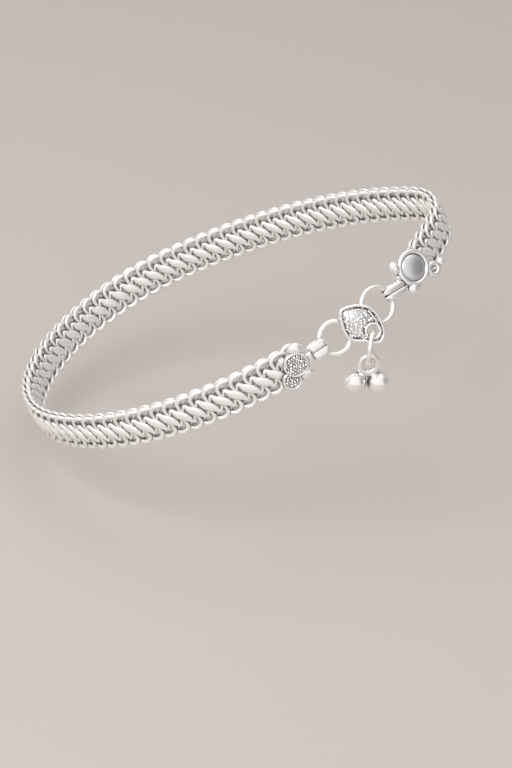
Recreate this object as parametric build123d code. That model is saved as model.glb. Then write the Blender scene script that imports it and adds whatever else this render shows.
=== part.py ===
from build123d import *
import math
import os

# Silver payal anklet: a band of interlocking S-shaped links with a cap at each end,
# closed by two wire rings and a leaf-shaped charm that carries a free-hanging drop.
# Millimetres, +Z up, +X toward the instep, origin at the middle of the loop, where
# the ankle sits.

# The loop that the band follows, in its own plane: two round ends joined by a near
# side and a far side, all tangent.
heel_radius = 36.0
instep_radius = 17.0
near_radius = 55.0
far_radius = 85.0
end_spacing = 50.0  # between the centres of the heel and instep ends
loop_tilt = 32.0  # degrees that the plane rises from heel to instep

# Band
link_count = 77
links_per_stretch = 3
band_start = 129.2  # along the loop from the heel, centre of the first link
band_stop = 89.6  # centre of the last link, a whole turn further on
band_width = 9.1
band_thickness = 2.4
wire_width = 1.0
hook_radius = 1.0  # to the middle of the hook's wire
hook_shift = 1.9  # along the band, between a link's centre and its hooks
pad_radius = 0.5
pad_height = 1.2

# Clasp
ring_wire = 0.5
ring_left_radius = 3.55
ring_right_radius = 3.95
clasp_lean = 12.0  # degrees that the clasp faces upward, lying on the instep
fit_gap = 0.15

# Charm
charm_thickness = 0.95
charm_rim = 0.7
charm_recess = 0.35
hole_spot = (1.71, -3.48)
hole_radius = 1.25
boss_radius = 1.95
staple_wire = 0.6
staple_width = 0.8

# Drop
link_radius = 3.6
link_wire = 0.5
link_slack = 0.3  # how far the link's top lies under the hole's centre
bail_radius = 1.95
bail_wire = 0.68
bail_slack = 0.6  # how far the bail's centre lies under the link's wire
ball_radius = 2.52
ball_spacing = 5.2
ball_fall = 4.63  # below the bail's centre
collar_radius = 0.95
link_facing = 84.3  # degrees round Z from -X that the drop's link faces
drop_facing = 102.0  # the same for the drop, which hangs a little turned on its link

# Caps
cap_floor = 1.35  # underside of a cap's face, in front of the band
cap_height = 1.3
cap_rim = 0.6
cap_recess = 0.3
bail_wall = 0.6


def unit(angle):
    return Vector(math.cos(math.radians(angle)), math.sin(math.radians(angle)))


# The loop's extent is centred on the origin.
middle = (heel_radius - instep_radius) / 2


def side_centre(radius, sign):
    """Centre of a side arc that meets both end arcs, given the side of the axis."""
    to_heel = radius - heel_radius
    to_instep = radius - instep_radius
    along = (to_heel**2 - to_instep**2) / (2 * end_spacing)
    across = math.sqrt(to_heel**2 - (along + end_spacing / 2) ** 2)
    return Vector(middle + along, sign * across)


heel_centre = Vector(middle - end_spacing / 2, 0)
instep_centre = Vector(middle + end_spacing / 2, 0)
near_centre = side_centre(near_radius, 1)
far_centre = side_centre(far_radius, -1)


def bearing(start, end):
    way = end - start
    return math.degrees(math.atan2(way.Y, way.X))


near_in = bearing(near_centre, heel_centre)
near_out = bearing(near_centre, instep_centre)
far_in = bearing(far_centre, instep_centre)
far_out = bearing(far_centre, heel_centre)

# Arcs in order from the heel along the near side: centre, radius, first and last bearing.
loop_arcs = [
    (heel_centre, heel_radius, -180, near_in),
    (near_centre, near_radius, near_in, near_out),
    (instep_centre, instep_radius, near_out, far_in),
    (far_centre, far_radius, far_in, far_out),
    (heel_centre, heel_radius, far_out, 180),
]
arc_lengths = [radius * math.radians(last - first) for _, radius, first, last in loop_arcs]
loop_length = sum(arc_lengths)


def loop_spot(distance):
    """Point and heading, in the loop's plane, at a distance along it from the heel."""
    rest = distance % loop_length
    for (centre, radius, first, _), length in zip(loop_arcs, arc_lengths):
        if rest <= length:
            break
        rest -= length
    angle = first + math.degrees(rest / radius)
    return centre + unit(angle) * radius, angle + 90


def in_world(flat):
    return flat.rotate(Axis.Y, -loop_tilt)


def station(distance, turn=0, lean=0, out=0):
    """Plane on the loop: x along it, y across the band, z away from the ankle."""
    spot, heading = loop_spot(distance)
    along = in_world(unit(heading + turn))
    across = in_world(Vector(0, 0, 1))
    outward = along.cross(across)
    facing = outward.rotate(Axis((0, 0, 0), along), -lean)
    return Plane(in_world(spot) + facing * out, x_dir=along, z_dir=facing)


def rod(start, end, radius):
    length = (end - start).length
    base = Plane(start, z_dir=end - start)
    return base * Cylinder(radius, length, align=(Align.CENTER, Align.CENTER, Align.MIN))


def link_plate():
    """An S-shaped link: two hooks joined by a slanting bar, flat on the XY plane."""
    hook_height = band_width / 2 - hook_radius - wire_width / 2
    hook = Vector(-hook_shift, hook_height)
    reach = hook.length
    slant = math.degrees(math.atan2(-hook.Y, -hook.X) + math.asin(hook_radius / reach))
    bar_half = math.sqrt(reach**2 - hook_radius**2)
    bar_end = unit(slant) * -bar_half
    hook_start = bearing(hook, bar_end) + 360
    hook_end = -15
    upper = CenterArc((hook.X, hook.Y), hook_radius, hook_start, hook_end - hook_start)
    tip = hook + unit(hook_end) * hook_radius
    half = trace(upper, wire_width) + Pos(tip.X, tip.Y) * Circle(wire_width / 2)
    bar = trace(Line((bar_end.X, bar_end.Y), (-bar_end.X, -bar_end.Y)), wire_width)
    outline = half + bar + half.rotate(Axis.Z, 180)
    return extrude(outline, band_thickness / 2, both=True)


def stretch(first):
    """A few links in a row, held together where their hooks meet."""
    pitch = (band_stop + loop_length - band_start) / (link_count - 1)
    hook_height = band_width / 2 - hook_radius - wire_width / 2
    plate = link_plate()
    pad = Cylinder(pad_radius, pad_height)
    pieces = []
    for number in range(first, min(first + links_per_stretch, link_count)):
        pieces.append(station(band_start + number * pitch) * plate)
        if number > first:
            joint = station(band_start + (number - 0.5) * pitch)
            pieces.append(joint * Pos(-hook_shift, hook_height) * pad)
            pieces.append(joint * Pos(hook_shift, -hook_height) * pad)
    return pieces[0].fuse(*pieces[1:])


def band_room(distance, start, end):
    """Space the end of the band needs behind a cap, between two offsets along it."""
    size = end - start
    return station(distance) * Pos(start + size / 2, 0) * Box(size, 12, 2 * cap_floor)


def button(x, y, radius):
    """Low disc with a raised rim."""
    disc = Cylinder(radius, cap_height, align=(Align.CENTER, Align.CENTER, Align.MIN))
    disc = fillet(disc.edges().sort_by(Axis.Z)[-1:], 0.35)
    dish = Pos(0, 0, cap_height) * Cylinder(radius - cap_rim, 2 * cap_recess)
    return Pos(x, y, cap_floor) * (disc - dish)


def dome(x, y, length, width, height, floor):
    whole = Pos(x, y, floor) * scale(Sphere(1), (length, width, height))
    return whole - Pos(x, y, floor - height / 2) * Box(2.2 * length, 2.2 * width, height)


def block(low, high, rounding):
    size = Vector(*high) - Vector(*low)
    centre = (Vector(*high) + Vector(*low)) / 2
    solid = Pos(centre) * Box(size.X, size.Y, size.Z)
    return fillet(solid.edges(), rounding)


def stadium(start, end, radius):
    """Two equal circles on the x axis and the band between them."""
    span = end - start
    return Pos((start + end) / 2, 0) * SlotCenterToCenter(span, 2 * radius)


def knuckle(plane, wire_x, y, way, length, strand):
    """Twin-strand bail that a ring's wire crosses at wire_x, reaching back by length."""
    inner = ring_wire + fit_gap
    outer = inner + bail_wall
    end = wire_x - way * 0.3
    start = wire_x + way * (length - outer)
    outline = stadium(min(start, end), max(start, end), outer)
    slot_start = wire_x + way * 0.35
    slot = stadium(min(slot_start, end), max(slot_start, end), inner)
    profile = extrude(Plane.XZ * (outline - slot), strand / 2, both=True)
    shift = strand / 2 + 0.1
    bridge = Pos(start, y) * Box(1.2, 2 * shift, 2 * outer - 0.8)
    pair = Pos(0, y - shift) * profile + Pos(0, y + shift) * profile + bridge
    return plane * pair


def ring(plane, centre, radius):
    return plane * Pos(*centre) * Torus(radius, ring_wire)


# Clasp: the two rings lie in line with the band, the charm over their near ends.
left_ring_plane = station(100.9, lean=clasp_lean)
right_ring_plane = station(113.9, lean=clasp_lean)
left_ring_centre = (0.39, -0.23)
right_ring_centre = (-0.37, -0.44)
left_wire = left_ring_centre[0] - ring_left_radius
right_wire = right_ring_centre[0] + ring_right_radius
left_cap_plane = station(91.15)
right_cap_plane = station(126.94, turn=-12, lean=clasp_lean)
charm_plane = station(107.44, turn=-14, lean=clasp_lean, out=2.0)


def left_cap():
    face = button(-0.3, 0.5, 2.8)
    face += button(-2.6, -2.4, 2.1)
    face += dome(0.85, -2.7, 1.75, 1.7, 1.5, cap_floor)
    face += dome(1.07, 3.54, 1.75, 1.75, 1.6, cap_floor)
    neck = block((0.8, -1.4, -1.2), (3.8, 1.3, 2.3), 0.5)
    solid = left_cap_plane * (face + neck) - band_room(band_stop, -9, 3.6)
    return solid + knuckle(left_ring_plane, left_wire, -0.2, -1, 3.9, 1.3)


def right_cap():
    face = dome(-1.18, 0.44, 3.4, 3.3, 2.2, 0.9)
    face += dome(-4.9, 3.1, 1.2, 1.6, 1.2, 1.4)
    face += dome(-4.0, -3.2, 1.4, 1.3, 1.2, 1.4)
    face += dome(2.9, -2.9, 1.8, 1.7, 1.2, 1.4)
    face += dome(5.6, -2.8, 0.95, 0.95, 0.95, 1.4)
    base = Pos(-1.4, 0, 1.25) * extrude(Ellipse(4.9, 4.0), 0.45, both=True)
    arm = rod(Vector(1.5, -3.0, 1.75), Vector(5.6, -2.8, 1.75), 0.6)
    neck = block((-5.9, -1.6, -1.2), (-2.6, 1.4, 2.2), 0.5)
    solid = right_cap_plane * (face + base + arm + neck) - band_room(band_start, -3.6, 10)
    return solid + knuckle(right_ring_plane, right_wire, -0.2, 1, 4.6, 1.6)


def charm_outline():
    """Leaf: wide rounded shoulder, straight lower left edge, point at the bottom."""
    corner = (-2.13, 4.86)
    shoulder = (1.7, 3.17)
    flank = (4.5, -1.6)
    point = (1.5, -6.85)
    lower_left = (-3.75, -2.62)
    upper_left = (-3.3, 2.0)
    edges = [
        Line(corner, shoulder),
        ThreePointArc(shoulder, (3.85, 1.1), flank),
        ThreePointArc(flank, (3.85, -4.85), point),
        Line(point, lower_left),
        ThreePointArc(lower_left, (-3.99, -0.4), upper_left),
        Line(upper_left, corner),
    ]
    leaf = make_face(edges)
    return fillet(leaf.vertices(), 0.6)


def staple(x, y, depth):
    """Hidden loop on the charm's back round a ring's wire, whose centre is at depth."""
    inner = ring_wire + fit_gap
    outer = inner + staple_wire
    tall = -depth
    frame = Pos(0, -tall / 2) * RectangleRounded(2 * outer, tall + 2 * outer, 0.9)
    window = Pos(0, -tall / 2) * RectangleRounded(2 * inner, tall + 2 * inner, 0.5)
    above = Pos(0, outer) * Rectangle(4 * outer, 2 * outer)
    wire = extrude(Plane.XZ * (frame - window - above), staple_width / 2, both=True)
    return Pos(x, y) * wire


# The drop hangs plumb: its link lies in the upright plane of "facing" and Z.
facing = Vector(-1, 0, 0).rotate(Axis.Z, link_facing)
swing_side = facing.cross(Vector(0, 0, 1))
upright = Vector(0, 0, 1)
hole_centre = charm_plane.from_local_coords(Vector(*hole_spot, 0))
link_centre = hole_centre - upright * (link_slack + link_radius)
bail_centre = link_centre - upright * (link_radius + bail_slack)


def charm():
    outline = charm_outline()
    plate = extrude(outline, charm_thickness / 2, both=True)
    centre = outline.bounding_box().center()
    size = outline.bounding_box().size
    shrink = (1 - 2 * charm_rim / size.X, 1 - 2 * charm_rim / size.Y, 1)
    field = Pos(centre) * scale(Pos(-centre) * outline, shrink)
    boss = Pos(*hole_spot) * Circle(boss_radius)
    hollow = extrude(field - boss, 1, dir=(0, 0, 1))
    recess = Pos(0, 0, charm_thickness / 2 - charm_recess) * hollow
    left_wire_point = Vector(left_ring_centre[0] + ring_left_radius, left_ring_centre[1], 0)
    right_wire_point = Vector(right_ring_centre[0] - ring_right_radius, right_ring_centre[1], 0)
    left_spot = charm_plane.to_local_coords(left_ring_plane.from_local_coords(left_wire_point))
    right_spot = charm_plane.to_local_coords(right_ring_plane.from_local_coords(right_wire_point))
    left_staple = staple(left_spot.X, left_spot.Y, left_spot.Z)
    right_staple = staple(right_spot.X, right_spot.Y, right_spot.Z)
    solid = (plate - recess).fuse(left_staple, right_staple)
    hole = Plane(hole_centre, z_dir=facing) * Cylinder(hole_radius, 12)
    return charm_plane * solid - hole


def drop_link():
    return Plane(link_centre, x_dir=facing, z_dir=swing_side) * Torus(link_radius, link_wire)


def drop():
    front = Vector(-1, 0, 0).rotate(Axis.Z, drop_facing)
    across = front.cross(upright)
    bail = Plane(bail_centre, x_dir=upright, z_dir=front) * Torus(bail_radius, bail_wire)
    pair = []
    for side in (-1, 1):
        ball = bail_centre + across * (side * ball_spacing / 2) - upright * ball_fall
        shoulder = bail_centre + across * (side * 0.8) - upright * bail_radius
        reach = (shoulder - ball).length
        disc = Circle(ball_radius) + Pos(0, reach / 2) * Rectangle(2 * collar_radius, reach)
        half = disc & Pos(5, 0) * Rectangle(10, 20)
        body = revolve(Plane.XZ * half, Axis.Z)
        pair.append(Plane(ball, x_dir=front, z_dir=shoulder - ball) * body)
    return bail.fuse(*pair)


os.makedirs("parts", exist_ok=True)
nodes = {
    "end_cap_left": left_cap(),
    "end_cap_right": right_cap(),
    "ring_left": ring(left_ring_plane, left_ring_centre, ring_left_radius),
    "ring_right": ring(right_ring_plane, right_ring_centre, ring_right_radius),
    "charm": charm(),
    "drop_link": drop_link(),
    "drop": drop(),
}
for number, first in enumerate(range(0, link_count, links_per_stretch), 1):
    nodes[f"chain_{number:02d}"] = stretch(first)
for name, solid in nodes.items():
    export_step(solid, f"parts/{name}.step")
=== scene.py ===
# Silver payal anklet: finishes and lighting around the built part.
import math
import random

import bmesh
import bpy
from mathutils import Matrix, Vector, noise


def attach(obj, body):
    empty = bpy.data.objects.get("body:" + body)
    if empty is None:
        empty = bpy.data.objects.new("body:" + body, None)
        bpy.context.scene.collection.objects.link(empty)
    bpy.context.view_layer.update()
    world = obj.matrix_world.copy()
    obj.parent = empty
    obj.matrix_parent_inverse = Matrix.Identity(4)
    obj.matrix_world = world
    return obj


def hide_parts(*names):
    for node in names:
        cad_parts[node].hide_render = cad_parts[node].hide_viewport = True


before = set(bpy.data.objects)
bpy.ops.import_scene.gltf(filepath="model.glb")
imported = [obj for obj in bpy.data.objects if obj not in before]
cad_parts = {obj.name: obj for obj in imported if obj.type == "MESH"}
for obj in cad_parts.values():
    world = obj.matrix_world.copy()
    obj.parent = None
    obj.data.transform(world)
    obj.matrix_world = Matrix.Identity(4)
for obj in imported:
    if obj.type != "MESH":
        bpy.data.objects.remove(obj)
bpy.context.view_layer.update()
mm = 0.001
random.seed(7)


loopShape = {
    "heelRadius": 36.0,
    "instepRadius": 17.0,
    "nearRadius": 55.0,
    "farRadius": 85.0,
    "spacing": 50.0,
    "tilt": math.radians(32),
}


def sideCentre(radius, sign):
    toHeel = radius - loopShape["heelRadius"]
    toInstep = radius - loopShape["instepRadius"]
    gap = loopShape["spacing"]
    along = (toHeel**2 - toInstep**2) / (2 * gap)
    across = math.sqrt(toHeel**2 - (along + gap / 2) ** 2)
    middle = (loopShape["heelRadius"] - loopShape["instepRadius"]) / 2
    return Vector((middle + along, sign * across))


def bearing(start, end):
    way = end - start
    return math.atan2(way.y, way.x)


def loopArcs():
    middle = (loopShape["heelRadius"] - loopShape["instepRadius"]) / 2
    half = loopShape["spacing"] / 2
    heel = Vector((middle - half, 0))
    instep = Vector((middle + half, 0))
    near = sideCentre(loopShape["nearRadius"], 1)
    far = sideCentre(loopShape["farRadius"], -1)
    nearIn, nearOut = bearing(near, heel), bearing(near, instep)
    farIn, farOut = bearing(far, instep), bearing(far, heel)
    return [
        (heel, loopShape["heelRadius"], -math.pi, nearIn),
        (near, loopShape["nearRadius"], nearIn, nearOut),
        (instep, loopShape["instepRadius"], nearOut, farIn),
        (far, loopShape["farRadius"], farIn, farOut),
        (heel, loopShape["heelRadius"], farOut, math.pi),
    ]


arcs = loopArcs()
loopLength = sum(radius * (last - first) for _, radius, first, last in arcs)
bandUp = Vector((-math.sin(loopShape["tilt"]), 0, math.cos(loopShape["tilt"])))


def inWorld(x, y):
    tilt = loopShape["tilt"]
    return Vector((x * math.cos(tilt), y, x * math.sin(tilt)))


# Point on the loop and the heading there
def loopSpot(distance):
    rest = distance % loopLength
    for centre, radius, first, last in arcs:
        length = radius * (last - first)
        if rest <= length:
            break
        rest -= length
    angle = first + rest / radius
    spot = centre + radius * Vector((math.cos(angle), math.sin(angle)))
    return spot, angle + math.pi / 2


# Matrix of a place on the band: x along it, y across it, z away from the ankle
def station(distance, turn=0, lean=0, out=0):
    spot, heading = loopSpot(distance)
    heading += math.radians(turn)
    along = inWorld(math.cos(heading), math.sin(heading))
    outward = along.cross(bandUp)
    tip = math.radians(lean)
    facing = outward * math.cos(tip) + bandUp * math.sin(tip)
    across = facing.cross(along)
    origin = inWorld(spot.x, spot.y) + facing * out
    axes = Matrix((along, across, facing)).transposed()
    return Matrix.Translation(origin * mm) @ (axes * mm).to_4x4()


# Bends a flat shape, x along the band, round the loop
def onBand(centre):
    def place(v):
        return station(centre + v.x) @ Vector((0, v.y, v.z))
    return place


def onPlane(matrix):
    return lambda v: matrix @ v


def newPiece(name, body, mesh, material, replaced=()):
    bmesh.ops.recalc_face_normals(mesh, faces=mesh.faces)
    data = bpy.data.meshes.new(name)
    mesh.to_mesh(data)
    mesh.free()
    for face in data.polygons:
        face.use_smooth = True
    obj = bpy.data.objects.new(name, data)
    bpy.context.scene.collection.objects.link(obj)
    data.materials.append(material)
    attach(obj, body)
    if replaced:
        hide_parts(*replaced)
    return obj


# Smooth curve through the points; each point may carry further values after x, y, z
def splinePoints(points, steps, closed=False):
    count = len(points)
    rows = [Vector(p) for p in points]
    out = []
    spans = count if closed else count - 1
    for i in range(spans):
        if closed:
            a, b, c, d = rows[i - 1], rows[i], rows[(i + 1) % count], rows[(i + 2) % count]
        else:
            b, c = rows[i], rows[i + 1]
            a = rows[i - 1] if i else b * 2 - c
            d = rows[i + 2] if i + 2 < count else c * 2 - b
        for k in range(steps):
            t = k / steps
            out.append(
                0.5 * (b * 2 + (c - a) * t + (a * 2 - b * 5 + c * 4 - d) * t * t
                       + (b * 3 - a - c * 3 + d) * t**3)
            )
    if not closed:
        out.append(rows[-1])
    return out


# Wire along the points: width is measured across the facing direction, depth along it
def sweep(mesh, points, width, depth, sides=8, closed=False, face=Vector((0, 0, 1)), place=None):
    count = len(points)
    place = place or (lambda v: v)
    flat = [Vector(p[:3]) for p in points]
    rings = []
    for i, p in enumerate(flat):
        if closed:
            before, after = flat[i - 1], flat[(i + 1) % count]
        else:
            before, after = flat[max(i - 1, 0)], flat[min(i + 1, count - 1)]
        tangent = (after - before).normalized()
        side = face.cross(tangent)
        if side.length < 1e-6:
            side = Vector((1, 0, 0)).cross(tangent)
        side.normalize()
        lift = tangent.cross(side)
        w = points[i][3] if len(points[i]) > 3 else width
        d = points[i][4] if len(points[i]) > 4 else depth
        ring = []
        for k in range(sides):
            turn = 2 * math.pi * (k + 0.5) / sides
            ring.append(mesh.verts.new(place(p + side * (w * math.cos(turn)) + lift * (d * math.sin(turn)))))
        rings.append(ring)
    spans = count if closed else count - 1
    for i in range(spans):
        one, two = rings[i], rings[(i + 1) % count]
        for k in range(sides):
            mesh.faces.new((one[k], one[(k + 1) % sides], two[(k + 1) % sides], two[k]))
    if not closed:
        for ring, at, other in ((rings[0], flat[0], flat[1]), (rings[-1], flat[-1], flat[-2])):
            tip = mesh.verts.new(place(at + (at - other).normalized() * min(width, depth) * 0.8))
            for k in range(sides):
                mesh.faces.new((ring[k], ring[(k + 1) % sides], tip))


# Turns a profile of (radius, height) pairs round the local z axis
def lathe(mesh, place, profile, sides=32):
    rings = []
    for radius, height in profile:
        if radius < 1e-6:
            rings.append([mesh.verts.new(place(Vector((0, 0, height))))])
            continue
        ring = []
        for k in range(sides):
            turn = 2 * math.pi * k / sides
            corner = Vector((radius * math.cos(turn), radius * math.sin(turn), height))
            ring.append(mesh.verts.new(place(corner)))
        rings.append(ring)
    for one, two in zip(rings, rings[1:]):
        for k in range(sides):
            n = (k + 1) % sides
            if len(one) == 1:
                mesh.faces.new((one[0], two[n], two[k]))
            elif len(two) == 1:
                mesh.faces.new((one[k], one[n], two[0]))
            else:
                mesh.faces.new((one[k], one[n], two[n], two[k]))


def socketGroup(name, inputs, outputs):
    group = bpy.data.node_groups.new(name, "ShaderNodeTree")
    for label, kind, value in inputs:
        socket = group.interface.new_socket(label, in_out="INPUT", socket_type=kind)
        if value is not None:
            socket.default_value = value
    for label, kind in outputs:
        group.interface.new_socket(label, in_out="OUTPUT", socket_type=kind)
    return group, group.nodes.new("NodeGroupInput"), group.nodes.new("NodeGroupOutput")


# Painted shade: darkens the base colour in hollows found by ambient occlusion and leaves the raised metal
# unshaded
def paintedShadeGroup():
    group, entry, out = socketGroup(
        "paintedShade",
        [("Unshaded", "NodeSocketColor", None), ("Dark", "NodeSocketColor", None),
         ("Reach", "NodeSocketFloat", 0.001), ("Depth", "NodeSocketFloat", 0.6)],
        [("Color", "NodeSocketColor"), ("Hollow", "NodeSocketFloat")],
    )
    nodes, links = group.nodes, group.links
    hollow = nodes.new("ShaderNodeAmbientOcclusion")
    hollow.samples = 8
    links.new(entry.outputs["Reach"], hollow.inputs["Distance"])
    turned = nodes.new("ShaderNodeMath")
    turned.operation = "SUBTRACT"
    turned.use_clamp = True
    turned.inputs[0].default_value = 1.0
    links.new(hollow.outputs["AO"], turned.inputs[1])
    scaled = nodes.new("ShaderNodeMath")
    scaled.operation = "MULTIPLY"
    scaled.use_clamp = True
    links.new(turned.outputs[0], scaled.inputs[0])
    links.new(entry.outputs["Depth"], scaled.inputs[1])
    mix = nodes.new("ShaderNodeMix")
    mix.data_type = "RGBA"
    links.new(scaled.outputs[0], mix.inputs[0])
    links.new(entry.outputs["Unshaded"], mix.inputs[6])
    links.new(entry.outputs["Dark"], mix.inputs[7])
    links.new(mix.outputs[2], out.inputs["Color"])
    links.new(scaled.outputs[0], out.inputs["Hollow"])
    return group


# Two close tones that drift over the metal, and a roughness that follows them
def toneGroup():
    group, entry, out = socketGroup(
        "tone",
        [("Cool", "NodeSocketColor", None), ("Warm", "NodeSocketColor", None),
         ("Scale", "NodeSocketFloat", 300.0), ("Rough Low", "NodeSocketFloat", 0.2),
         ("Rough High", "NodeSocketFloat", 0.35)],
        [("Color", "NodeSocketColor"), ("Roughness", "NodeSocketFloat"), ("Grain", "NodeSocketFloat")],
    )
    nodes, links = group.nodes, group.links
    where = nodes.new("ShaderNodeTexCoord")
    cloud = nodes.new("ShaderNodeTexNoise")
    cloud.inputs["Detail"].default_value = 4
    links.new(where.outputs["Object"], cloud.inputs["Vector"])
    links.new(entry.outputs["Scale"], cloud.inputs["Scale"])
    mix = nodes.new("ShaderNodeMix")
    mix.data_type = "RGBA"
    links.new(cloud.outputs["Fac"], mix.inputs[0])
    links.new(entry.outputs["Cool"], mix.inputs[6])
    links.new(entry.outputs["Warm"], mix.inputs[7])
    links.new(mix.outputs[2], out.inputs["Color"])
    rough = nodes.new("ShaderNodeMapRange")
    links.new(cloud.outputs["Fac"], rough.inputs["Value"])
    rough.inputs["From Min"].default_value = 0.3
    rough.inputs["From Max"].default_value = 0.7
    links.new(entry.outputs["Rough Low"], rough.inputs["To Min"])
    links.new(entry.outputs["Rough High"], rough.inputs["To Max"])
    links.new(rough.outputs["Result"], out.inputs["Roughness"])
    fine = nodes.new("ShaderNodeTexNoise")
    fine.inputs["Scale"].default_value = 2600
    fine.inputs["Detail"].default_value = 2
    links.new(where.outputs["Object"], fine.inputs["Vector"])
    links.new(fine.outputs["Fac"], out.inputs["Grain"])
    return group


paintedShade = paintedShadeGroup()
tone = toneGroup()


def silver(name, look):
    material = bpy.data.materials.new(name)
    material.use_nodes = True
    nodes, links = material.node_tree.nodes, material.node_tree.links
    shader = nodes["Principled BSDF"]
    shader.inputs["Metallic"].default_value = look["metal"]
    tones = nodes.new("ShaderNodeGroup")
    tones.node_tree = tone
    tones.inputs["Cool"].default_value = (*look["cool"], 1)
    tones.inputs["Warm"].default_value = (*look["warm"], 1)
    tones.inputs["Scale"].default_value = look["scale"]
    tones.inputs["Rough Low"].default_value = look["rough"][0]
    tones.inputs["Rough High"].default_value = look["rough"][1]
    # Painted shade in hollows: the base colour is darkened by ambient occlusion
    dark = nodes.new("ShaderNodeGroup")
    dark.node_tree = paintedShade
    dark.inputs["Dark"].default_value = (*look["dark"], 1)
    dark.inputs["Reach"].default_value = look["reach"]
    dark.inputs["Depth"].default_value = look["depth"]
    links.new(tones.outputs["Color"], dark.inputs["Unshaded"])
    links.new(dark.outputs["Color"], shader.inputs["Base Color"])
    links.new(tones.outputs["Roughness"], shader.inputs["Roughness"])
    bump = nodes.new("ShaderNodeBump")
    bump.inputs["Strength"].default_value = look["bump"]
    bump.inputs["Distance"].default_value = 0.00005
    links.new(tones.outputs["Grain"], bump.inputs["Height"])
    links.new(bump.outputs["Normal"], shader.inputs["Normal"])
    return material


# dark, reach and depth set each finish's painted shade in hollows
wovenLook = {
    "metal": 0.55, "cool": (0.93, 0.93, 0.93), "warm": (0.98, 0.96, 0.92), "scale": 260.0,
    "rough": (0.3, 0.42), "dark": (0.16, 0.15, 0.15), "reach": 0.0009, "depth": 1.2, "bump": 0.25,
}
castLook = {
    "metal": 0.75, "cool": (0.92, 0.92, 0.93), "warm": (0.97, 0.96, 0.94), "scale": 420.0,
    "rough": (0.18, 0.3), "dark": (0.08, 0.08, 0.1), "reach": 0.0005, "depth": 1.7, "bump": 0.3,
}
domeLook = {
    "metal": 1.0, "cool": (0.72, 0.73, 0.75), "warm": (0.82, 0.82, 0.82), "scale": 240.0,
    "rough": (0.26, 0.36), "dark": (0.3, 0.3, 0.32), "reach": 0.0006, "depth": 0.6, "bump": 0.1,
}
ballLook = {
    "metal": 0.75, "cool": (0.94, 0.93, 0.94), "warm": (0.98, 0.95, 0.93), "scale": 240.0,
    "rough": (0.13, 0.22), "dark": (0.16, 0.15, 0.15), "reach": 0.0016, "depth": 1.1, "bump": 0.12,
}
wireLook = {
    "metal": 0.7, "cool": (0.93, 0.92, 0.9), "warm": (0.98, 0.96, 0.91), "scale": 200.0,
    "rough": (0.2, 0.3), "dark": (0.3, 0.28, 0.27), "reach": 0.0008, "depth": 0.7, "bump": 0.15,
}
wovenSilver = silver("wovenSilver", wovenLook)
castSilver = silver("castSilver", castLook)
domeSilver = silver("domeSilver", domeLook)
ballSilver = silver("ballSilver", ballLook)
wireSilver = silver("wireSilver", wireLook)
print("materials made")


bandLook = {
    "count": 77, "perStretch": 3, "first": 129.2, "last": 89.6,
    "sides": 8, "steps": 4, "rise": 1.06, "layer": 0.5,
}
# One half of a link's wire, from its hidden end to its middle.
linkTurns = [
    {"x": 0.75, "y": 2.1, "z": -0.6, "wide": 0.4, "deep": 0.3},
    {"x": 0.1, "y": 3.2, "z": -0.3, "wide": 0.5, "deep": 0.36},
    {"x": -1.65, "y": 3.72, "z": 0.05, "wide": 0.56, "deep": 0.46},
    {"x": -3.05, "y": 2.9, "z": 0.1, "wide": 0.52, "deep": 0.44},
    {"x": -3.1, "y": 1.5, "z": 0.18, "wide": 0.44, "deep": 0.4},
    {"x": -2.65, "y": 0.85, "z": 0.22, "wide": 0.38, "deep": 0.38},
    {"x": -2.3, "y": 1.4, "z": 0.26, "wide": 0.36, "deep": 0.38},
    {"x": -1.9, "y": 1.9, "z": 0.3, "wide": 0.4, "deep": 0.38},
    {"x": -1.45, "y": 1.6, "z": 0.32, "wide": 0.56, "deep": 0.42},
    {"x": -1.1, "y": 1.0, "z": 0.34, "wide": 0.85, "deep": 0.46},
    {"x": -0.5, "y": 0.4, "z": 0.38, "wide": 1.12, "deep": 0.48},
]


def linkPath():
    half = [(t["x"], t["y"] * bandLook["rise"], t["z"], t["wide"], t["deep"]) for t in linkTurns]
    other = [(-x, -y, z, wide, deep) for x, y, z, wide, deep in reversed(half)]
    return splinePoints(half + other, bandLook["steps"])


def addLink(mesh, centre, path):
    bend = onBand(centre)
    lift = Vector((0, 0, bandLook["layer"]))
    sweep(mesh, path, 0.4, 0.35, bandLook["sides"], place=lambda v: bend(v + lift))
    sweep(mesh, path, 0.4, 0.35, bandLook["sides"],
          place=lambda v: bend(Vector((-v.x, v.y, -v.z)) - lift))


def buildBand():
    pitch = (bandLook["last"] + loopLength - bandLook["first"]) / (bandLook["count"] - 1)
    path = linkPath()
    starts = range(0, bandLook["count"], bandLook["perStretch"])
    for group, start in enumerate(starts, 1):
        mesh = bmesh.new()
        for number in range(start, min(start + bandLook["perStretch"], bandLook["count"])):
            addLink(mesh, bandLook["first"] + number * pitch, path)
        name, node = f"wovenLinks{group:02d}", f"chain_{group:02d}"
        newPiece(name, "anklet", mesh, wovenSilver, [node])


buildBand()
print("band built")


# Low cast disc with a round rim; its field is added by grainedDisc
def drum(mesh, place, x, y, radius, floor, top, rim):
    profile = [(0, floor), (radius * 0.86, floor), (radius * 0.97, floor + 0.15), (radius, floor + 0.4)]
    for k in range(9):
        turn = math.pi * k / 8
        profile.append((radius - rim + rim * math.cos(turn), top - rim * 0.6 + rim * 0.9 * math.sin(turn)))
    profile.append((radius - 2 * rim - 0.05, top - rim * 0.9))
    profile.append((0, top - rim * 0.9))
    lathe(mesh, lambda v: place(v + Vector((x, y, 0))), profile, 40)


# Height of a field of small raised grains, 0 to 1
def stippleHeight(x, y, pitch):
    distances, _ = noise.voronoi(Vector((x / pitch, y / pitch, 0)), distance_metric="DISTANCE")
    grain = 1 - min(distances[0] / 0.55, 1) ** 2
    return grain * (0.75 + 0.25 * noise.noise(Vector((x * 1.7, y * 1.7, 3))))


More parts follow.
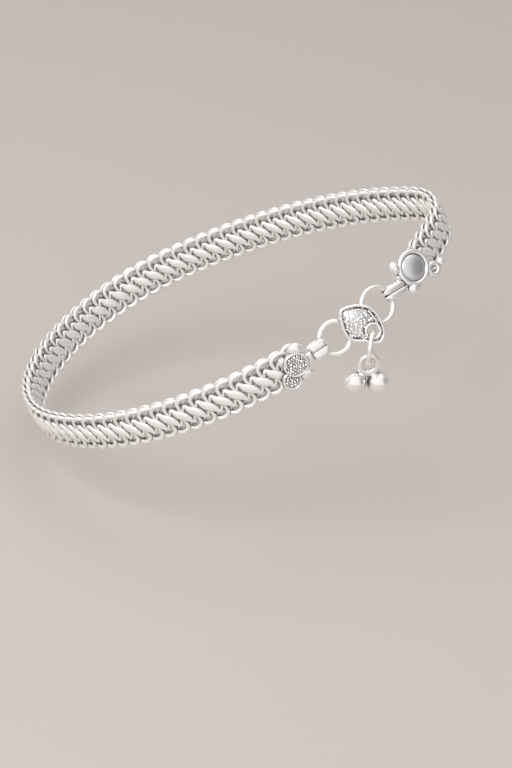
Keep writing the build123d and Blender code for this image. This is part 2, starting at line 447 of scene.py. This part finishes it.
# Sheet of grains over the part of a box for which inside(x, y) holds
def stippledField(mesh, place, inside, box, height, amount, pitch, step, shape=None):
    low, high = box
    columns = int((high[0] - low[0]) / step) + 1
    rows = int((high[1] - low[1]) / step) + 1
    grid = {}
    for i in range(columns):
        for j in range(rows):
            x, y = low[0] + i * step, low[1] + j * step
            if inside(x, y):
                z = height + amount * stippleHeight(x, y, pitch)
                if shape:
                    z += shape(x, y)
                grid[i, j] = mesh.verts.new(place(Vector((x, y, z))))
    for (i, j), corner in grid.items():
        others = [grid.get((i + 1, j)), grid.get((i + 1, j + 1)), grid.get((i, j + 1))]
        if all(others):
            mesh.faces.new([corner] + others)


# Solid grain, slightly flattened where asked
def bead(mesh, place, x, y, z, wide, tall=None, deep=None, sides=20):
    tall, deep = tall or wide, deep or wide
    profile = [(math.sin(math.pi * k / 12), -math.cos(math.pi * k / 12)) for k in range(13)]
    profile[0], profile[-1] = (0, -1), (0, 1)
    centre = Vector((x, y, z))
    lathe(mesh, lambda v: place(centre + Vector((v.x * wide, v.y * tall, v.z * deep))), profile, sides)


def roundedBlock(mesh, place, low, high, edge):
    low, high = Vector(low), Vector(high)
    size, middle = high - low, (low + high) / 2
    part = bmesh.new()
    bmesh.ops.create_cube(part, size=1)
    bmesh.ops.scale(part, vec=size, verts=part.verts)
    bmesh.ops.translate(part, vec=middle, verts=part.verts)
    bmesh.ops.bevel(part, geom=part.edges[:], offset=edge, segments=4, profile=0.5, affect="EDGES")
    join(mesh, part, place)


def join(mesh, part, place):
    made = {v: mesh.verts.new(place(v.co)) for v in part.verts}
    for face in part.faces:
        mesh.faces.new([made[v] for v in face.verts])
    part.free()


# Side view of one bail strand: a long loop round the ring's wire, in x and z
def knucklePath(wire, way, reach, inner):
    end = wire - way * 0.3
    start = wire + way * (reach - inner)
    path = []
    for k in range(13):
        turn = math.pi * (k / 12 - 0.5)
        path.append(Vector((end - way * inner * math.cos(turn), 0, inner * math.sin(turn))))
    for k in range(13):
        turn = math.pi * (k / 12 + 0.5)
        path.append(Vector((start - way * inner * math.cos(turn), 0, inner * math.sin(turn))))
    return path


# Twin bail: each strand is a wide wire, rounded off toward both ends
def addKnuckle(mesh, place, wire, way, bail):
    path = knucklePath(wire, way, bail["reach"], 0.93)
    middle = (min(p.x for p in path) + max(p.x for p in path)) / 2
    half = max(p.x for p in path) - middle
    slope = math.tan(math.radians(bail["turn"]))
    for side in (-1, 1):
        rows = []
        for p in path:
            edge = abs((p.x - middle) / half) ** 2.8
            at = bail["y"] + side * (bail["strand"] / 2 + 0.05) * (1 - 0.4 * edge) + (p.x - wire) * slope
            deep = bail["strand"] * 0.58 * (1 - 0.62 * edge)
            rows.append(Vector((p.x, at, p.z, 0.34, deep)))
        sweep(mesh, rows, 0.34, 0.8, 16, closed=True, face=Vector((0, 1, 0)), place=place)


bails = {
    "left": {"reach": 3.1, "y": -0.2, "strand": 1.9, "turn": 0},
    "right": {"reach": 4.2, "y": -0.3, "strand": 1.6, "turn": -9},
}
rings = {
    "left": {"at": 100.9, "lean": 12, "centre": (0.39, -0.23), "radius": 3.55, "wire": 0.6},
    "right": {"at": 113.9, "lean": 12, "centre": (-0.37, -0.44), "radius": 3.95, "wire": 0.6},
}


def ringPlace(ring):
    return onPlane(station(ring["at"], lean=ring["lean"]))


leftCapShape = {
    "at": 91.15, "grain": 0.37, "gap": 0.62,
    "discs": [
        {"x": -0.3, "y": 0.5, "radius": 2.8, "top": 2.72},
        {"x": -2.6, "y": -2.4, "radius": 2.1, "top": 2.48},
    ],
    "floor": 1.3, "rim": 0.24,
    "beads": [
        {"x": 0.85, "y": -2.7, "z": 1.75, "wide": 1.75, "tall": 1.7, "deep": 1.1, "sides": 32},
        {"x": 1.07, "y": 3.4, "z": 1.75, "wide": 1.65, "tall": 1.65, "deep": 1.1, "sides": 32},
        {"x": -2.6, "y": 2.3, "z": 1.6, "wide": 1.0, "tall": 1.0, "deep": 0.8, "sides": 24},
    ],
    "neckLow": (1.6, -1.35, -1.15), "neckHigh": (3.8, 1.25, 2.15), "neckEdge": 0.5,
}


# Uneven soldered grains, packed in rows over a disc
def grainedDisc(mesh, place, disc, grain, gap):
    field = disc["radius"] - 0.42
    count = int(field / gap) + 1
    for row in range(-count, count + 1):
        for column in range(-count, count + 1):
            u = (column + 0.5 * (row % 2)) * gap + random.uniform(-0.1, 0.1)
            v = row * gap * 0.87 + random.uniform(-0.1, 0.1)
            if math.hypot(u, v) > field:
                continue
            size = grain * random.uniform(0.75, 1.25)
            height = disc["top"] - 0.3 + random.uniform(-0.1, 0.06)
            tall = size * random.uniform(0.8, 1.2)
            bead(mesh, place, disc["x"] + u, disc["y"] + v, height, size, tall, sides=8)


def buildLeftCap():
    shape = leftCapShape
    place = onPlane(station(shape["at"]))
    mesh = bmesh.new()
    for disc in shape["discs"]:
        drum(mesh, place, disc["x"], disc["y"], disc["radius"], shape["floor"], disc["top"], shape["rim"])
        grainedDisc(mesh, place, disc, shape["grain"], shape["gap"])
    for ball in shape["beads"]:
        bead(mesh, place, **ball)
    roundedBlock(mesh, place, shape["neckLow"], shape["neckHigh"], shape["neckEdge"])
    ring = rings["left"]
    wire = ring["centre"][0] - ring["radius"]
    addKnuckle(mesh, ringPlace(ring), wire, -1, bails["left"])
    newPiece("leftCap", "anklet", mesh, castSilver, ["end_cap_left"])


def ovalPath(x, y, long, wide, turn, count, z):
    out = []
    for k in range(count):
        a = 2 * math.pi * k / count
        u, v = long * math.cos(a), wide * math.sin(a)
        right = x + u * math.cos(turn) - v * math.sin(turn)
        up = y + u * math.sin(turn) + v * math.cos(turn)
        out.append(Vector((right, up, z)))
    return out


rightCapShape = {
    "at": 126.94, "turn": -12, "lean": 12,
    "centre": (-1.18, 0.44), "long": 3.6, "wide": 3.5, "twist": 0.5,
    "bezel": 0.6, "bezelDeep": 0.62, "bezelHeight": 2.1, "dome": 3.2, "domeFloor": 1.95,
    "neckLow": (-5.8, -1.5, -1.15), "neckHigh": (-3.4, 1.3, 2.05), "neckEdge": 0.5,
}
capCurl = {"x": 2.9, "y": -2.9, "long": 1.3, "wide": 1.2, "height": 2.1, "wire": 0.55, "wireDeep": 0.5}
capGrains = [
    {"x": -4.9, "y": 3.1, "z": 1.8, "wide": 1.2, "tall": 1.6},
    {"x": -4.0, "y": -3.2, "z": 1.8, "wide": 1.4, "tall": 1.3},
    {"x": -2.7, "y": -3.7, "z": 1.7, "wide": 0.9, "tall": 0.85},
    {"x": 5.4, "y": -2.8, "z": 1.9, "wide": 1.1, "tall": 1.1},
]
# Soldered wires that carry the curl and the grains
capWires = [
    {"points": [(1.2, -2.2, 1.7), (2.2, -2.6, 1.8), (2.9, -2.9, 1.8)], "wide": 0.8, "deep": 0.5},
    {"points": [(3.0, -3.1, 1.75), (4.4, -3.0, 1.75), (5.6, -2.8, 1.75)], "wide": 0.5, "deep": 0.45},
    {"points": [(-5.4, 3.1, 1.5), (-3.6, 1.9, 1.5)], "wide": 0.6, "deep": 0.5},
    {"points": [(-4.3, -3.1, 1.5), (-2.9, -1.9, 1.5)], "wide": 0.8, "deep": 0.5},
]


def buildRightCap():
    shape = rightCapShape
    place = onPlane(station(shape["at"], turn=shape["turn"], lean=shape["lean"]))
    x, y = shape["centre"]
    mesh = bmesh.new()
    path = ovalPath(x, y, shape["long"], shape["wide"], shape["twist"], 48, shape["bezelHeight"])
    sweep(mesh, path, shape["bezel"], shape["bezelDeep"], 12, closed=True, place=place)
    base = [(0, 0.95), (0.9, 0.95), (1.0, 1.25), (1.0, 1.6), (0.92, 2.0), (0, 2.0)]
    lathe(mesh, lambda v: place(Vector((x + v.x * shape["long"], y + v.y * shape["wide"], v.z))), base, 48)
    for grain in capGrains:
        deep = grain["wide"] * 0.85
        bead(mesh, place, grain["x"], grain["y"], grain["z"], grain["wide"], grain["tall"], deep)
    curl = ovalPath(capCurl["x"], capCurl["y"], capCurl["long"], capCurl["wide"], 0, 24, capCurl["height"])
    sweep(mesh, curl, capCurl["wire"], capCurl["wireDeep"], 10, closed=True, place=place)
    for wire in capWires:
        sweep(mesh, [Vector(p) for p in wire["points"]], wire["wide"], wire["deep"], 10, place=place)
    roundedBlock(mesh, place, shape["neckLow"], shape["neckHigh"], shape["neckEdge"])
    ring = rings["right"]
    wire = ring["centre"][0] + ring["radius"]
    addKnuckle(mesh, ringPlace(ring), wire, 1, bails["right"])
    newPiece("rightCap", "anklet", mesh, castSilver, ["end_cap_right"])
    dome = bmesh.new()
    profile = [(math.cos(math.pi * k / 40), math.sin(math.pi * k / 40)) for k in range(21)]
    profile[-1] = (0, 1)
    inner, floor = shape["dome"], shape["domeFloor"]
    rows = [(r, h) for r, h in reversed(profile)] + [(0, 0)]

    def onDome(v):
        return place(Vector((x + v.x * inner, y + v.y * inner * 0.97, floor + v.z * 1.05)))

    lathe(dome, onDome, rows, 56)
    newPiece("rightCapDome", "anklet", dome, domeSilver)


def buildRings():
    for side, ring in rings.items():
        mesh = bmesh.new()
        x, y = ring["centre"]
        path = ovalPath(x, y, ring["radius"], ring["radius"], 0, 72, 0)
        sweep(mesh, path, ring["wire"], ring["wire"], 14, closed=True, place=ringPlace(ring))
        newPiece(f"{side}Ring", "anklet", mesh, wireSilver, [f"ring_{side}"])


charmShape = {
    "at": 107.44, "turn": -14, "lean": 12, "out": 2.0, "back": -0.47, "top": 0.12,
    "hole": (1.71, -3.48), "holeRadius": 1.25, "rim": 0.36, "rimDeep": 0.46,
    "bossGap": 0.4, "bossWide": 0.32, "bossDeep": 0.36,
    "foldWide": 0.26, "foldDeep": 0.24,
    "fold": [(3.0, 0.9, 0.2), (3.35, -1.4, 0.22), (3.15, -3.4, 0.22), (2.9, -4.6, 0.2)],
}
leafEdge = [
    {"x": -1.7, "y": 4.15}, {"x": 0.2, "y": 3.75}, {"x": 1.9, "y": 2.9}, {"x": 3.6, "y": 1.2},
    {"x": 4.2, "y": -1.6}, {"x": 3.75, "y": -4.5}, {"x": 2.7, "y": -5.85}, {"x": 1.35, "y": -6.2},
    {"x": -0.4, "y": -4.75}, {"x": -3.1, "y": -2.75}, {"x": -3.72, "y": -0.6}, {"x": -3.2, "y": 1.9},
    {"x": -2.55, "y": 3.55},
]


def insideOutline(outline, x, y, margin):
    inside = False
    nearest = 1e9
    for a, b in zip(outline, outline[1:] + outline[:1]):
        if (a.y > y) != (b.y > y) and x < (b.x - a.x) * (y - a.y) / (b.y - a.y) + a.x:
            inside = not inside
        span = b - a
        t = max(0, min(1, ((x - a.x) * span.x + (y - a.y) * span.y) / max(span.length_squared, 1e-9)))
        nearest = min(nearest, math.hypot(x - a.x - t * span.x, y - a.y - t * span.y))
    return inside and nearest > margin


def holeCut(angleCount, z, radius):
    x, y = charmShape["hole"]
    return [Vector((x + radius * math.cos(2 * math.pi * k / angleCount),
                    y + radius * math.sin(2 * math.pi * k / angleCount), z)) for k in range(angleCount)]


# Plate with a hole through it
def slab(mesh, place, outline, hole, floor, top):
    part = bmesh.new()
    loops = []
    for z in (floor, top):
        edges = []
        rows = []
        for ring in (outline, hole):
            verts = [part.verts.new((p.x, p.y, z)) for p in ring]
            edges += [part.edges.new((a, b)) for a, b in zip(verts, verts[1:] + verts[:1])]
            rows.append(verts)
        bmesh.ops.triangle_fill(part, use_beauty=True, edges=edges)
        loops.append(rows)
    for low, high in zip(loops[0], loops[1]):
        for k in range(len(low)):
            n = (k + 1) % len(low)
            part.faces.new((low[k], low[n], high[n], high[k]))
    join(mesh, part, place)


def addStaple(mesh, place, spot):
    x, y, depth = spot
    half = 0.95
    bend, foot = half * 0.7, depth - half * 0.75
    rows = [(x - half, -0.3), (x - half, depth), (x - bend, foot), (x, depth - half),
            (x + bend, foot), (x + half, depth), (x + half, -0.3)]
    wide, deep = 0.36, 0.28
    path = splinePoints([(across, y, height, wide, deep) for across, height in rows], 4)
    sweep(mesh, path, wide, deep, 10, face=Vector((0, 1, 0)), place=place)


def charmField(outline):
    x, y = charmShape["hole"]
    return lambda u, v: (insideOutline(outline, u, v, 0.25)
                         and math.hypot(u - x, v - y) > 1.6)


# Seams that part the grains into petals
def charmRelief(u, v):
    seam = min(abs(u + 0.3 + 0.12 * v), abs(v - 0.4 + 0.15 * u) + 0.15)
    return -0.14 * max(0, 1 - seam / 0.22)


def charmPlace():
    shape = charmShape
    return station(shape["at"], turn=shape["turn"], lean=shape["lean"], out=shape["out"])


def buildCharm():
    shape = charmShape
    matrix = charmPlace()
    place = onPlane(matrix)
    outline = splinePoints([(p["x"], p["y"], 0) for p in leafEdge], 7, closed=True)
    mesh = bmesh.new()
    slab(mesh, place, outline, holeCut(40, 0, shape["holeRadius"]), shape["back"], shape["top"])
    edge = [Vector((p.x, p.y, 0.1)) for p in outline]
    sweep(mesh, edge, shape["rim"], shape["rimDeep"], 12, closed=True, place=place)
    box = ((-4, -6.4), (4.6, 4.4))
    stippledField(mesh, place, charmField(outline), box, 0.1, 0.32, 0.56, 0.08, charmRelief)
    boss = [Vector((p.x, p.y, 0.12)) for p in holeCut(40, 0, shape["holeRadius"] + shape["bossGap"])]
    sweep(mesh, boss, shape["bossWide"], shape["bossDeep"], 10, closed=True, place=place)
    wide, deep = shape["foldWide"], shape["foldDeep"]
    fold = splinePoints([(*p, wide, deep) for p in shape["fold"]], 6)
    sweep(mesh, fold, wide, deep, 10, place=place)
    back = matrix.inverted()
    for side, way in (("left", 1), ("right", -1)):
        ring = rings[side]
        x, y = ring["centre"]
        world = ringPlace(ring)(Vector((x + way * ring["radius"], y, 0)))
        addStaple(mesh, place, back @ world)
    newPiece("leafCharm", "anklet", mesh, castSilver, ["charm"])


dropShape = {
    "linkFacing": math.radians(84.3), "facing": math.radians(102),
    "linkRadius": 3.6, "linkWire": 0.52, "slack": 0.3, "bailSlack": 0.6,
    "bail": 1.95, "bailDeep": 0.68, "ball": 2.52, "spacing": 5.2, "fall": 4.63,
}
# The bail's wire, clockwise from its top: across, up, and half its width.
bailTurns = [
    {"x": 0, "z": 1.95, "wide": 0.6}, {"x": 1.3, "z": 1.42, "wide": 0.62},
    {"x": 1.88, "z": 0.1, "wide": 0.7}, {"x": 1.72, "z": -1.25, "wide": 0.84},
    {"x": 0.9, "z": -2.1, "wide": 0.95}, {"x": 0, "z": -2.3, "wide": 0.98},
    {"x": -0.9, "z": -2.1, "wide": 0.95}, {"x": -1.72, "z": -1.25, "wide": 0.84},
    {"x": -1.88, "z": 0.1, "wide": 0.7}, {"x": -1.3, "z": 1.42, "wide": 0.62},
]


# Local axes at the charm's hole: x to the right, y away from the front, z up
def hangingFrame(angle):
    matrix = charmPlace()
    hole = matrix @ Vector((*charmShape["hole"], 0))
    facing = Vector((-math.cos(angle), -math.sin(angle), 0))
    side = Vector((0, 0, 1)).cross(facing)
    axes = Matrix((side, -facing, Vector((0, 0, 1)))).transposed()
    return Matrix.Translation(hole) @ (axes * mm).to_4x4()


def addBall(place, name, side, bail):
    centre = Vector((side * dropShape["spacing"] / 2, 0, bail - dropShape["fall"]))
    top = Vector((side * 0.8, 0, bail - dropShape["bail"]))
    axis = (top - centre).normalized()
    turn = Vector((0, 0, 1)).rotation_difference(axis).to_matrix()
    profile = [(0, -1.0)]
    for k in range(1, 29):
        a = math.pi * k / 32
        profile.append((math.sin(a), -math.cos(a)))
    profile = [(r * dropShape["ball"], h * dropShape["ball"]) for r, h in profile]
    profile += [(0.9, 2.5), (0.82, 2.9), (0, 3.1)]
    mesh = bmesh.new()
    lathe(mesh, lambda v: place(centre + turn @ v), profile, 56)
    newPiece(name, "hanging_drop", mesh, ballSilver)


def buildDrop():
    place = onPlane(hangingFrame(dropShape["linkFacing"]))
    radius = dropShape["linkRadius"]
    low = -(dropShape["slack"] + radius)
    mesh = bmesh.new()
    path = []
    for k in range(64):
        turn = 2 * math.pi * k / 64
        path.append(Vector((0, radius * math.cos(turn), low + radius * math.sin(turn))))
    wire = dropShape["linkWire"]
    sweep(mesh, path, wire, wire, 12, closed=True, face=Vector((1, 0, 0)), place=place)
    newPiece("dropLink", "link", mesh, wireSilver, ["drop_link"])

    place = onPlane(hangingFrame(dropShape["facing"]))
    bail = low - radius - dropShape["bailSlack"]
    mesh = bmesh.new()
    deep = dropShape["bailDeep"]
    rows = splinePoints([(t["x"], 0, bail + t["z"], t["wide"], deep) for t in bailTurns], 6, closed=True)
    sweep(mesh, rows, 0.7, deep, 14, closed=True, face=Vector((0, 1, 0)), place=place)
    newPiece("dropBail", "hanging_drop", mesh, ballSilver, ["drop"])
    addBall(place, "leftBall", -1, bail)
    addBall(place, "rightBall", 1, bail)


buildLeftCap()
buildRightCap()
buildRings()
buildCharm()
buildDrop()
print("clasp and drop built")


shot = {
    "elevation": math.radians(28), "distance": 0.75, "lens": 155.4, "roll": math.radians(6),
    "shiftX": 0.0287, "shiftY": -0.101,
}


def addCamera():
    e, roll = shot["elevation"], shot["roll"]
    right = Vector((1, 0, 0))
    up = Vector((0, math.sin(e), math.cos(e)))
    back = Vector((0, -math.cos(e), math.sin(e)))
    turnedRight = right * math.cos(roll) + up * math.sin(roll)
    turnedUp = up * math.cos(roll) - right * math.sin(roll)
    camera = bpy.data.cameras.new("camera")
    camera.lens = shot["lens"]
    camera.sensor_width = 36
    camera.clip_start = 0.01
    camera.shift_x = shot["shiftX"]
    camera.shift_y = shot["shiftY"]
    obj = bpy.data.objects.new("camera", camera)
    axes = Matrix((turnedRight, turnedUp, back)).transposed().to_4x4()
    obj.matrix_world = Matrix.Translation(back * shot["distance"]) @ axes
    bpy.context.scene.collection.objects.link(obj)
    bpy.context.scene.camera = obj


floorShape = {
    "low": -0.04, "near": -1.8, "rise": 1.6, "bend": 0.5, "half": 2.4,
    "colour": (0.53, 0.49, 0.465, 1), "roughness": 0.8,
}


def addFloor():
    mesh = bmesh.new()
    low, bend, half = floorShape["low"], floorShape["bend"], floorShape["half"]
    rows = [(floorShape["near"], low), (bend * 0.8, low)]
    for k in range(1, 13):
        a = math.pi / 2 * k / 12
        rows.append((bend * 0.8 + bend * math.sin(a), low + bend * (1 - math.cos(a))))
    rows.append((bend * 1.8, low + floorShape["rise"]))
    strips = [[mesh.verts.new((x, y, z)) for x in (-half, half)] for y, z in rows]
    for one, two in zip(strips, strips[1:]):
        mesh.faces.new((one[0], one[1], two[1], two[0]))
    data = bpy.data.meshes.new("floor")
    mesh.to_mesh(data)
    mesh.free()
    for face in data.polygons:
        face.use_smooth = True
    obj = bpy.data.objects.new("floor", data)
    bpy.context.scene.collection.objects.link(obj)
    material = bpy.data.materials.new("paleFloor")
    material.use_nodes = True
    shader = material.node_tree.nodes["Principled BSDF"]
    shader.inputs["Base Color"].default_value = floorShape["colour"]
    shader.inputs["Roughness"].default_value = floorShape["roughness"]
    data.materials.append(material)


def areaLight(name, spot, target, size, power, colour):
    light = bpy.data.lights.new(name, "AREA")
    light.shape = "RECTANGLE"
    light.size, light.size_y = size
    light.energy = power
    light.color = colour
    obj = bpy.data.objects.new(name, light)
    obj.location = spot
    obj.rotation_euler = (Vector(target) - Vector(spot)).to_track_quat("-Z", "Y").to_euler()
    bpy.context.scene.collection.objects.link(obj)


studio = {"sky": 0.9}
# Unlit parts of the studio, as directions from the piece and half-angles in degrees.
darkCards = [
    {"way": (0.92, 0.0, 0.3), "inner": 14, "outer": 44, "level": 0.3},
    {"way": (-0.08, -0.95, -0.22), "inner": 7, "outer": 17, "level": 0.1},
]


def addLights():
    world = bpy.data.worlds.new("studio")
    world.use_nodes = True
    nodes, links = world.node_tree.nodes, world.node_tree.links
    back = nodes["Background"]
    where = nodes.new("ShaderNodeTexCoord")
    previous = None
    for card in darkCards:
        facing = nodes.new("ShaderNodeVectorMath")
        facing.operation = "DOT_PRODUCT"
        facing.inputs[1].default_value = Vector(card["way"]).normalized()
        links.new(where.outputs["Generated"], facing.inputs[0])
        edge = nodes.new("ShaderNodeMapRange")
        edge.interpolation_type = "SMOOTHSTEP"
        edge.inputs["From Min"].default_value = math.cos(math.radians(card["outer"]))
        edge.inputs["From Max"].default_value = math.cos(math.radians(card["inner"]))
        edge.inputs["To Min"].default_value = 1.0
        edge.inputs["To Max"].default_value = card["level"]
        links.new(facing.outputs["Value"], edge.inputs["Value"])
        if previous is None:
            previous = edge.outputs["Result"]
        else:
            both = nodes.new("ShaderNodeMath")
            both.operation = "MULTIPLY"
            links.new(previous, both.inputs[0])
            links.new(edge.outputs["Result"], both.inputs[1])
            previous = both.outputs[0]
    level = nodes.new("ShaderNodeMath")
    level.operation = "MULTIPLY"
    level.inputs[1].default_value = studio["sky"]
    links.new(previous, level.inputs[0])
    links.new(level.outputs[0], back.inputs["Strength"])
    back.inputs["Color"].default_value = (1.0, 0.99, 0.98, 1)
    bpy.context.scene.world = world
    areaLight("key", (-0.35, -0.5, 0.6), (0, 0, 0), (0.5, 0.5), 3.6, (1, 0.985, 0.96))
    areaLight("top", (0.0, 0.15, 0.75), (0, 0, 0), (0.7, 0.5), 0.7, (1, 1, 1))
    bpy.context.scene.view_settings.view_transform = "Standard"


addCamera()
addFloor()
addLights()
print("camera, floor and lights placed")
